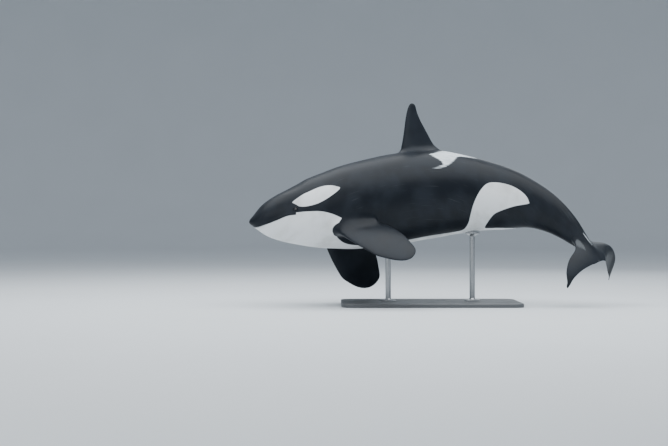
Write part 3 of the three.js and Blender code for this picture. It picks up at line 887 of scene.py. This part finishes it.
class Paint:
    """A material's node tree, with short names for the nodes that these finishes need."""

    def __init__(self, name):
        self.material = bpy.data.materials.new(name)
        self.material.use_nodes = True
        self.tree = self.material.node_tree
        self.shader = self.tree.nodes["Principled BSDF"]

    def node(self, kind, **settings):
        made = self.tree.nodes.new(kind)
        for key, value in settings.items():
            if hasattr(made, key):
                setattr(made, key, value)
            else:
                made.inputs[key.replace("_", " ")].default_value = value
        return made

    def link(self, source, target):
        self.tree.links.new(source, target)

    def attribute(self, name):
        return self.node("ShaderNodeAttribute", attribute_name=name)

    def noise(self, vector, scale, detail=4.0, roughness=0.5):
        made = self.node("ShaderNodeTexNoise", Scale=scale, Detail=detail, Roughness=roughness)
        self.link(vector, made.inputs["Vector"])
        return made.outputs["Fac"]

    def stretched(self, vector, scale):
        made = self.node("ShaderNodeMapping")
        made.inputs["Scale"].default_value = scale
        self.link(vector, made.inputs["Vector"])
        return made.outputs["Vector"]

    def ramp(self, value, low, high, to_low=0.0, to_high=1.0):
        made = self.node("ShaderNodeMapRange", interpolation_type="SMOOTHSTEP")
        self.link(value, made.inputs["Value"])
        made.inputs["From Min"].default_value = low
        made.inputs["From Max"].default_value = high
        made.inputs["To Min"].default_value = to_low
        made.inputs["To Max"].default_value = to_high
        return made.outputs["Result"]

    def maths(self, operation, a, b):
        made = self.node("ShaderNodeMath", operation=operation)
        for source, target in ((a, made.inputs[0]), (b, made.inputs[1])):
            if isinstance(source, (int, float)):
                target.default_value = source
            else:
                self.link(source, target)
        return made.outputs[0]

    def wander(self, noise, reach):
        """A noise as a distance, half of the reach either way from 0."""
        return self.maths("MULTIPLY", self.maths("SUBTRACT", noise, 0.5), reach)

    def mix(self, share, a, b):
        """One colour over another. They are the sockets 6 and 7 of a mix node."""
        made = self.node("ShaderNodeMix", data_type="RGBA")
        self.link(share, made.inputs["Factor"])
        for source, target in ((a, made.inputs[6]), (b, made.inputs[7])):
            if isinstance(source, tuple):
                target.default_value = (*source, 1.0)
            else:
                self.link(source, target)
        return made.outputs[2]

    def bump(self, height, distance, strength=1.0, below=None):
        made = self.node("ShaderNodeBump", Distance=distance, Strength=strength)
        self.link(height, made.inputs["Height"])
        if below is not None:
            self.link(below, made.inputs["Normal"])
        return made.outputs["Normal"]


# %% [markdown]
# The colours go on in layers, from black to the marks. The stored distance of a mark is moved a little
# either way by a noise and turned into a share of its colour, so that its edge is as soft or as rough as
# the real one. The saddle is feathered and fades backward, the pale marks of the tail stock are broken,
# and the white is crisp. The upper pale mark is brighter than the lower one, as a painted highlight.

# %% Paint the skin
BLACK = (0.0085, 0.011, 0.015)
BLACK_WORN = (0.014, 0.018, 0.024)
WHITE = (0.78, 0.8, 0.81)
WHITE_WORN = (0.62, 0.63, 0.62)
SADDLE_GREY = (0.5, 0.56, 0.6)
SADDLE_PALE = (0.7, 0.75, 0.78)
PALE_MARK_GREY = (0.42, 0.45, 0.47)

paint = Paint("orca_skin")
where = paint.attribute("skin_map").outputs["Vector"]
cloudy = paint.noise(where, 3.0, 5.0)
fine = paint.noise(where, 42.0, 4.0, 0.6)
ridges = paint.noise(paint.stretched(where, (420.0, 9.0, 9.0)), 1.0, 2.0)
rakes = paint.noise(paint.stretched(where, (2.2, 70.0, 8.0)), 1.0, 2.0, 0.4)
place_on_skin = paint.node("ShaderNodeSeparateXYZ")
paint.link(where, place_on_skin.inputs[0])
on_body = paint.ramp(place_on_skin.outputs["Z"], 0.02, 0.05, 1.0, 0.0)
rake_marks = paint.maths("MULTIPLY", paint.ramp(rakes, 0.66, 0.74), on_body)

black = paint.mix(paint.ramp(cloudy, 0.35, 0.7), BLACK, BLACK_WORN)
black = paint.mix(paint.maths("MULTIPLY", rake_marks, 0.04), black, PALE_MARK_GREY)
white_skin = paint.mix(paint.ramp(cloudy, 0.42, 0.75), WHITE, WHITE_WORN)

feather = paint.noise(paint.stretched(where, (5.0, 26.0, 10.0)), 1.0, 4.0, 0.6)
saddle_edge = paint.maths("ADD", paint.attribute("saddle").outputs["Fac"], paint.wander(feather, 0.05))
saddle_share = paint.ramp(saddle_edge, -0.014, 0.02)
fading = paint.ramp(place_on_skin.outputs["X"], 3.45, 3.8, 1.0, 0.3)
saddle_share = paint.maths("MULTIPLY", saddle_share, fading)
saddle_skin = paint.mix(paint.ramp(feather, 0.35, 0.65), SADDLE_GREY, SADDLE_PALE)
colour = paint.mix(saddle_share, black, saddle_skin)

broken = paint.wander(paint.noise(where, 60.0, 4.0, 0.7), 0.035)
tail_mark_share = paint.ramp(paint.maths("ADD", paint.attribute("tail_pale_mark").outputs["Fac"], broken), -0.004, 0.012)
# The mark along the top of the tail stock is painted brighter than the patch on its side. This is a painted
# highlight, where the top faces up to the light.
mark_strength_painted_highlight = paint.ramp(place_on_skin.outputs["Y"], 0.08, 0.14, 0.9, 0.16)
colour = paint.mix(paint.maths("MULTIPLY", tail_mark_share, mark_strength_painted_highlight), colour, PALE_MARK_GREY)

white_edge = paint.maths("ADD", paint.attribute("white").outputs["Fac"], paint.wander(fine, 0.003))
white_share = paint.ramp(white_edge, -0.004, 0.004)
colour = paint.mix(white_share, colour, white_skin)
paint.link(colour, paint.shader.inputs["Base Color"])

paint.link(paint.ramp(cloudy, 0.3, 0.7, 0.3, 0.42), paint.shader.inputs["Roughness"])
surface = paint.bump(fine, 0.0012, 0.35)
surface = paint.bump(ridges, 0.0006, 0.3, surface)
surface = paint.bump(rake_marks, 0.0015, 0.25, surface)
paint.link(surface, paint.shader.inputs["Normal"])
paint.shader.inputs["IOR"].default_value = 1.33
paint.shader.inputs["Specular IOR Level"].default_value = 0.3
skin.data.materials.clear()
skin.data.materials.append(paint.material)

# %% [markdown]
# Smooth shading hides the facets, and the few real edges, at the creases and sockets, are kept sharp.

# %% Finish the skin piece
CREASE_ANGLE = math.radians(48)

skin.data.shade_smooth()
skin.data.set_sharp_from_angle(angle=CREASE_ANGLE)
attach(skin, "root")
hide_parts("head", "lower_jaw", "torso", "tail_stock", "dorsal_fin", "flipper_left", "flipper_right",
            "fluke_left", "fluke_right")

# %% [markdown]
# The eyeball is dark brown with a wide pupil, under a clear wet surface. The colour runs in rings round
# the line of sight, so each ball is its own object, turned so that its own Z axis looks outward.

# %% Make the eyes
EYE_IRIS = (0.035, 0.018, 0.009)
EYE_RIM = (0.012, 0.008, 0.008)
EYE_PUPIL = (0.001, 0.001, 0.0015)

eye_paint = Paint("orca_eye")
local = eye_paint.node("ShaderNodeTexCoord").outputs["Object"]
parts = eye_paint.node("ShaderNodeSeparateXYZ")
eye_paint.link(local, parts.inputs[0])
outward = parts.outputs["Z"]
streaks = eye_paint.noise(eye_paint.stretched(local, (260.0, 260.0, 30.0)), 1.0, 3.0)
iris = eye_paint.mix(streaks, EYE_RIM, EYE_IRIS)
eye_colour = eye_paint.mix(eye_paint.ramp(outward, 0.0265, 0.0272), iris, EYE_PUPIL)
eye_colour = eye_paint.mix(eye_paint.ramp(outward, 0.018, 0.021), EYE_RIM, eye_colour)
eye_paint.link(eye_colour, eye_paint.shader.inputs["Base Color"])
eye_paint.link(eye_paint.ramp(streaks, 0.3, 0.7, 0.05, 0.09), eye_paint.shader.inputs["Roughness"])
eye_paint.shader.inputs["Coat Weight"].default_value = 1.0
eye_paint.shader.inputs["Coat Roughness"].default_value = 0.02

for name, (centre, radius, over, out) in eyes.items():
    eye = ball(name + "_ball", np.zeros(3), radius)
    basis = np.stack([np.cross(over, out), over, out], 1)
    eye.matrix_world = Matrix.LocRotScale(Vector(centre), Matrix(basis.tolist()).to_quaternion(), None)
    eye.data.shade_smooth()
    eye.data.materials.append(eye_paint.material)
    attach(eye, "root")
    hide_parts(name)
    print(name, "at", centre.round(3), "radius", round(radius, 4))

# %% [markdown]
# The stand is plain shop work: a grey painted board with softened edges, and two turned steel rods with
# a flange below and a cup above. Their solids are right as they are, so they only get a finish.

# %% Finish the stand
rod_paint = Paint("brushed_steel")
rod_where = rod_paint.node("ShaderNodeTexCoord").outputs["Object"]
brushing = rod_paint.noise(rod_paint.stretched(rod_where, (14.0, 14.0, 620.0)), 1.0, 3.0)
rod_paint.link(rod_paint.mix(brushing, (0.32, 0.33, 0.34), (0.46, 0.47, 0.48)),
               rod_paint.shader.inputs["Base Color"])
rod_paint.link(rod_paint.ramp(brushing, 0.3, 0.7, 0.26, 0.42), rod_paint.shader.inputs["Roughness"])
rod_paint.link(rod_paint.bump(brushing, 0.0004, 0.4), rod_paint.shader.inputs["Normal"])
rod_paint.shader.inputs["Metallic"].default_value = 1.0

base_paint = Paint("grey_stand_paint")
base_where = base_paint.node("ShaderNodeTexCoord").outputs["Object"]
orange_peel = base_paint.noise(base_where, 240.0, 3.0)
dusty = base_paint.noise(base_where, 2.2, 5.0, 0.6)
base_paint.link(base_paint.mix(dusty, (0.075, 0.08, 0.085), (0.1, 0.105, 0.11)),
                base_paint.shader.inputs["Base Color"])
base_paint.link(base_paint.ramp(dusty, 0.3, 0.7, 0.42, 0.58), base_paint.shader.inputs["Roughness"])
base_paint.link(base_paint.bump(orange_peel, 0.0005, 0.3), base_paint.shader.inputs["Normal"])

stand = {"stand_base": base_paint, "stand_rod_front": rod_paint, "stand_rod_rear": rod_paint}
for name, finish in stand.items():
    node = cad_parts[name]
    node.data.materials.clear()
    node.data.materials.append(finish.material)
    node.data.shade_smooth()
    node.data.set_sharp_from_angle(angle=math.radians(30))

# %% [markdown]
# A wide pale floor runs up into a round wall, so that every view has a plain pale ground. Large soft
# lamps hang overhead, because in the sea the light comes from above and the belly stays in shade.

# %% Build the stage and lights
FLOOR_RADIUS = 60.0
WALL_HEIGHT = 34.0
WALL_BEND = 14.0
BOWL_SIDES = 96


def stage_bowl():
    """A flat floor whose edge bends up into a round wall, facing inward."""
    start = FLOOR_RADIUS - WALL_BEND
    profile = [(0.5, 0.0), (8.0, 0.0), (24.0, 0.0)]
    for t in np.linspace(0, np.pi / 2, 16):
        profile.append((start + WALL_BEND * math.sin(t), WALL_BEND * (1 - math.cos(t))))
    profile.append((FLOOR_RADIUS, WALL_HEIGHT))
    sides = BOWL_SIDES
    turn = np.arange(sides) / sides * 2 * np.pi
    r, z = np.array(profile).T[:, :, None]
    points = np.stack([r * np.cos(turn), r * np.sin(turn), z * np.ones(sides)], -1)
    ring, side = np.meshgrid(np.arange(len(profile) - 1) * sides, np.arange(sides), indexing="ij")
    beside = (side + 1) % sides
    quads = np.stack([ring + side, ring + beside, ring + sides + beside, ring + sides + side], -1)
    middle = [list(range(sides))[::-1]]
    mesh = bpy.data.meshes.new("stage_bowl")
    mesh.from_pydata(points.reshape(-1, 3).tolist(), [], middle + quads.reshape(-1, 4).tolist())
    mesh.shade_smooth()
    made = bpy.data.objects.new("stage_bowl", mesh)
    bpy.context.scene.collection.objects.link(made)
    return made


stage_paint = Paint("pale_floor")
floor_where = stage_paint.node("ShaderNodeTexCoord").outputs["Object"]
floor_tone = stage_paint.noise(floor_where, 0.35, 3.0)
stage_paint.link(stage_paint.mix(floor_tone, (0.64, 0.67, 0.69), (0.68, 0.71, 0.73)),
                 stage_paint.shader.inputs["Base Color"])
stage_paint.shader.inputs["Roughness"].default_value = 0.85
bowl = stage_bowl()
bowl.data.materials.append(stage_paint.material)

world = bpy.data.worlds.new("sky")
world.use_nodes = True
world.node_tree.nodes["Background"].inputs["Color"].default_value = (0.82, 0.9, 1.0, 1.0)
world.node_tree.nodes["Background"].inputs["Strength"].default_value = 0.62
bpy.context.scene.world = world


def soft_lamp(name, place, aim, size, power, colour=(1.0, 1.0, 1.0)):
    data = bpy.data.lights.new(name, "AREA")
    data.shape = "RECTANGLE"
    data.size, data.size_y = size
    data.energy = power
    data.color = colour
    lamp = bpy.data.objects.new(name, data)
    lamp.location = place
    lamp.rotation_euler = (Vector(aim) - Vector(place)).to_track_quat("-Z", "Y").to_euler()
    bpy.context.scene.collection.objects.link(lamp)


soft_lamp("overhead", (-0.5, -1.0, 11.0), (0, 0, 1.4), (20.0, 14.0), 3300.0, (0.95, 0.98, 1.0))
soft_lamp("from_camera", (-8.0, -15.0, 8.0), (-0.5, 0, 1.5), (16.0, 8.0), 800.0)
soft_lamp("from_behind", (6.0, 13.0, 8.0), (0.5, 0, 1.5), (10.0, 5.0), 300.0, (0.9, 0.96, 1.0))
